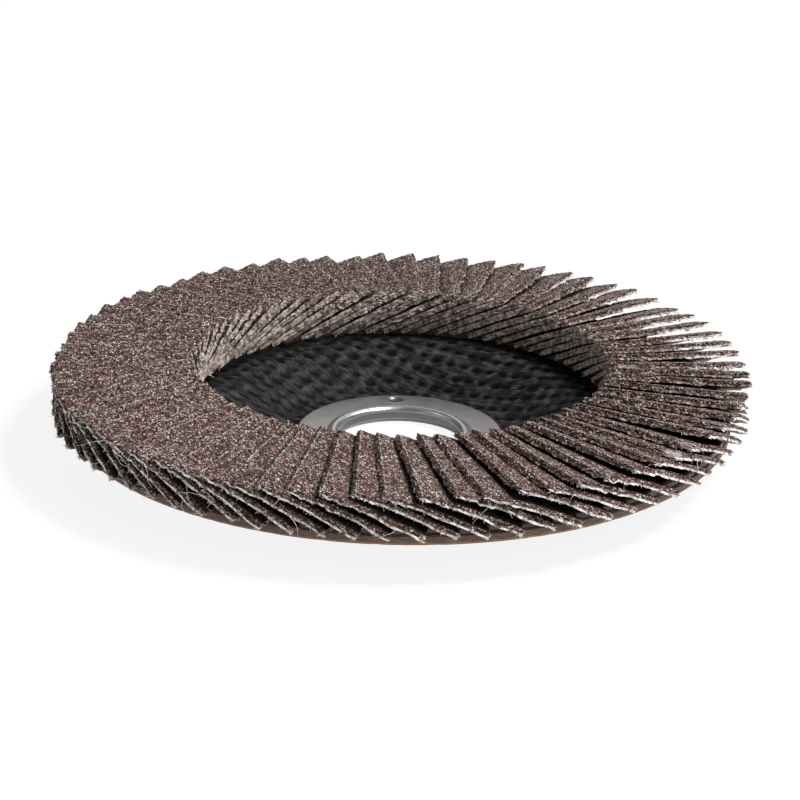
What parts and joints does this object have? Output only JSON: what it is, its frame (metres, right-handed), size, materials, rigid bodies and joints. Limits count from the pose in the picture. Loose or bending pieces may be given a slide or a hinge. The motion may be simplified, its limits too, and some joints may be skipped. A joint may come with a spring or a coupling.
{
  "type": "flap disc",
  "caption": "Abrasive flap disc for an angle grinder: overlapping cloth flaps fan round a dished backing plate with a steel-lined bore.",
  "frame": {"origin": "on the bore axis at the back of the hub, the face that lies against the grinder's flange", "axes": "+Z along the bore axis towards the abrasive side; +X and +Y across the disc, +X along the radial line of the first flap"},
  "size_m": [0.125, 0.125, 0.0173],
  "materials": {
    "abrasive_cloth": "coarse brown abrasive grit on woven cotton cloth",
    "adhesive": "cured dark brown resin",
    "glass_fibre_laminate": "pressed woven glass-fibre laminate, satin black",
    "ring_steel": "satin zinc-plated pressed steel"
  },
  "bodies": {
    "root": {"flap_pair_01": "abrasive_cloth", "flap_pair_02": "abrasive_cloth", "flap_pair_03": "abrasive_cloth", "flap_pair_04": "abrasive_cloth", "flap_pair_05": "abrasive_cloth", "flap_pair_06": "abrasive_cloth", "flap_pair_07": "abrasive_cloth", "flap_pair_08": "abrasive_cloth", "flap_pair_09": "abrasive_cloth", "flap_pair_10": "abrasive_cloth", "flap_pair_11": "abrasive_cloth", "flap_pair_12": "abrasive_cloth", "flap_pair_13": "abrasive_cloth", "flap_pair_14": "abrasive_cloth", "flap_pair_15": "abrasive_cloth", "flap_pair_16": "abrasive_cloth", "flap_pair_17": "abrasive_cloth", "flap_pair_18": "abrasive_cloth", "flap_pair_19": "abrasive_cloth", "flap_pair_20": "abrasive_cloth", "flap_pair_21": "abrasive_cloth", "flap_pair_22": "abrasive_cloth", "flap_pair_23": "abrasive_cloth", "flap_pair_24": "abrasive_cloth", "flap_pair_25": "abrasive_cloth", "flap_pair_26": "abrasive_cloth", "flap_pair_27": "abrasive_cloth", "flap_pair_28": "abrasive_cloth", "flap_pair_29": "abrasive_cloth", "flap_pair_30": "abrasive_cloth", "flap_pair_31": "abrasive_cloth", "flap_pair_32": "abrasive_cloth", "flap_pair_33": "abrasive_cloth", "flap_pair_34": "abrasive_cloth", "flap_pair_35": "abrasive_cloth", "flap_pair_36": "abrasive_cloth", "adhesive_bed": "adhesive", "backing_plate": "glass_fibre_laminate", "centre_ring": "ring_steel"}
  },
  "joints": []
}
